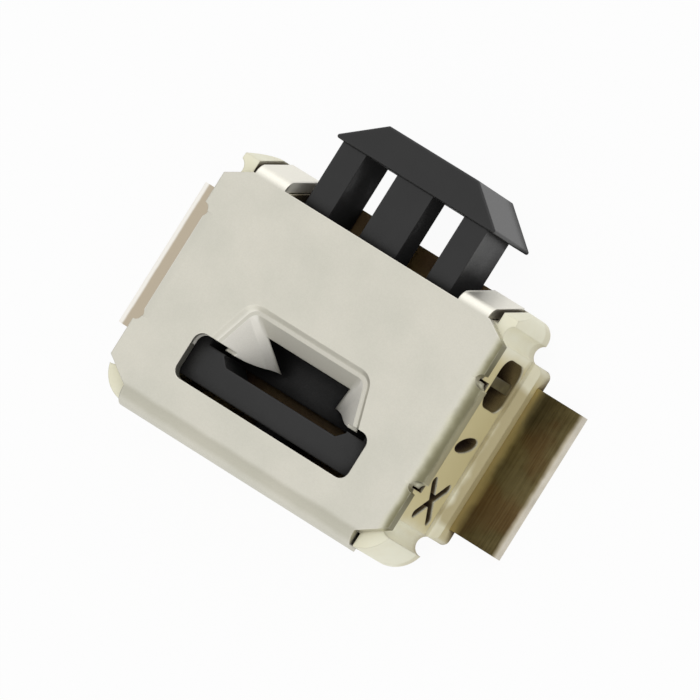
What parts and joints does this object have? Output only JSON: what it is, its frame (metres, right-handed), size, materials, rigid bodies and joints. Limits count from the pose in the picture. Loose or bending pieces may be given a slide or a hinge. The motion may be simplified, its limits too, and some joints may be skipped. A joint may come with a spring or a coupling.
{
  "type": "side-push tactile switch",
  "caption": "Surface-mount side-push tactile switch: moulded housing, folded sheet cover, sliding plunger and two wide solder terminals.",
  "frame": {"origin": "on the board plane, in the middle of the housing's width and midway along the cover", "axes": "+X across the two solder terminals, +Y the way the plunger stands out, +Z away from the board"},
  "size_m": [0.0064, 0.005, 0.0016],
  "materials": {
    "housing_plastic": "matte moulded cream nylon",
    "cover_steel": "matt silver sheet",
    "plunger_plastic": "satin black moulding",
    "spring_steel": "bright spring strip",
    "contact_metal": "dull plated copper alloy"
  },
  "bodies": {
    "base": {"housing": "housing_plastic", "cover": "cover_steel", "click_dome": "spring_steel", "centre_contact": "contact_metal", "outer_contact": "contact_metal"},
    "slider": {"plunger": "plunger_plastic"}
  },
  "joints": [
    {"name": "plunger_press", "type": "slide", "parent": "base", "child": "slider", "axis": [0, -1, 0], "range_m": [0, 0.0002], "stiffness_N_per_m": 8000, "deforming": ["click_dome"]}
  ]
}
